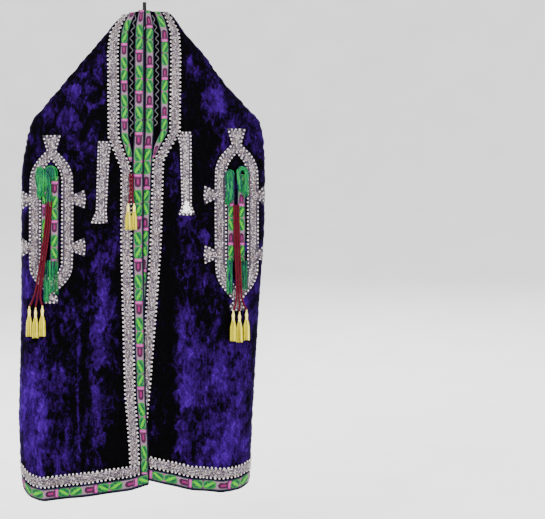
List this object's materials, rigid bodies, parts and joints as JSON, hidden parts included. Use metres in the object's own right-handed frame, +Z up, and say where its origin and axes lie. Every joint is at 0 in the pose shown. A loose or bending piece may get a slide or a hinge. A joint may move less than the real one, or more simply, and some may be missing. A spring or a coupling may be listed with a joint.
{
  "type": "paranja head cloak on a hanger",
  "caption": "Long crushed-velvet head cloak with ribbon and bead-braid trims, pocket slits, tassels and false sleeves tied down the back, hung from a plain hanger.",
  "frame": {"origin": "top of the hanger's stem, from which the cloak hangs", "axes": "+Z up; the cloak's front faces -Y; +X is to the right of someone who looks at the front"},
  "size_m": [0.7612, 0.2863, 1.5268],
  "materials": {
    "velvet": "crushed velvet, violet-blue with a strong sheen",
    "woven_ribbon": "woven ribbon, satin",
    "bead_braid": "braid of silver thread and small beads",
    "silk_braid": "flat silk braid, matte",
    "silk_threads": "loose silk threads, soft sheen",
    "red_cord": "twisted silk cord",
    "grey_cord": "twisted cord",
    "coral_cord": "twisted wool cord",
    "yellow_tassel": "cut silk strands",
    "hanger_steel": "satin black"
  },
  "bodies": {
    "root": {"back": "velvet", "back_braid_left": "silk_braid", "back_braid_right": "silk_braid", "back_tassel_1": "yellow_tassel", "back_tassel_2": "yellow_tassel", "back_tassel_3": "yellow_tassel", "back_tassel_4": "yellow_tassel", "braid_front_left": "bead_braid", "braid_front_right": "bead_braid", "braid_hem_back": "bead_braid", "braid_hem_left": "bead_braid", "braid_hem_right": "bead_braid", "braid_neck_back": "bead_braid", "coral_cord": "coral_cord", "drop_left": "bead_braid", "drop_right": "bead_braid", "false_sleeve_left": "velvet", "false_sleeve_right": "velvet", "front_left": "velvet", "front_right": "velvet", "hanger": "hanger_steel", "neck_cord_1": "red_cord", "neck_cord_2": "red_cord", "neck_tassel_1": "yellow_tassel", "neck_tassel_2": "yellow_tassel", "pendant_cord": "grey_cord", "pocket_left_cord_1": "red_cord", "pocket_left_cord_2": "red_cord", "pocket_left_cord_3": "red_cord", "pocket_left_frame": "bead_braid", "pocket_left_ribbon_inner": "woven_ribbon", "pocket_left_ribbon_outer": "woven_ribbon", "pocket_left_tassel_1": "yellow_tassel", "pocket_left_tassel_2": "yellow_tassel", "pocket_left_tassel_3": "yellow_tassel", "pocket_left_threads_lower": "silk_threads", "pocket_left_threads_upper": "silk_threads", "pocket_right_cord_1": "red_cord", "pocket_right_cord_2": "red_cord", "pocket_right_cord_3": "red_cord", "pocket_right_frame": "bead_braid", "pocket_right_ribbon_inner": "woven_ribbon", "pocket_right_ribbon_outer": "woven_ribbon", "pocket_right_tassel_1": "yellow_tassel", "pocket_right_tassel_2": "yellow_tassel", "pocket_right_tassel_3": "yellow_tassel", "pocket_right_threads_lower": "silk_threads", "pocket_right_threads_upper": "silk_threads", "ribbon_front_left": "woven_ribbon", "ribbon_front_right": "woven_ribbon", "ribbon_hem_back": "woven_ribbon", "ribbon_hem_left": "woven_ribbon", "ribbon_hem_right": "woven_ribbon", "ribbon_hood_left": "woven_ribbon", "ribbon_hood_right": "woven_ribbon", "small_tassel_1": "yellow_tassel", "small_tassel_2": "yellow_tassel", "small_tassel_3": "yellow_tassel", "small_tassel_4": "yellow_tassel", "tie_knot": "grey_cord"}
  },
  "joints": []
}
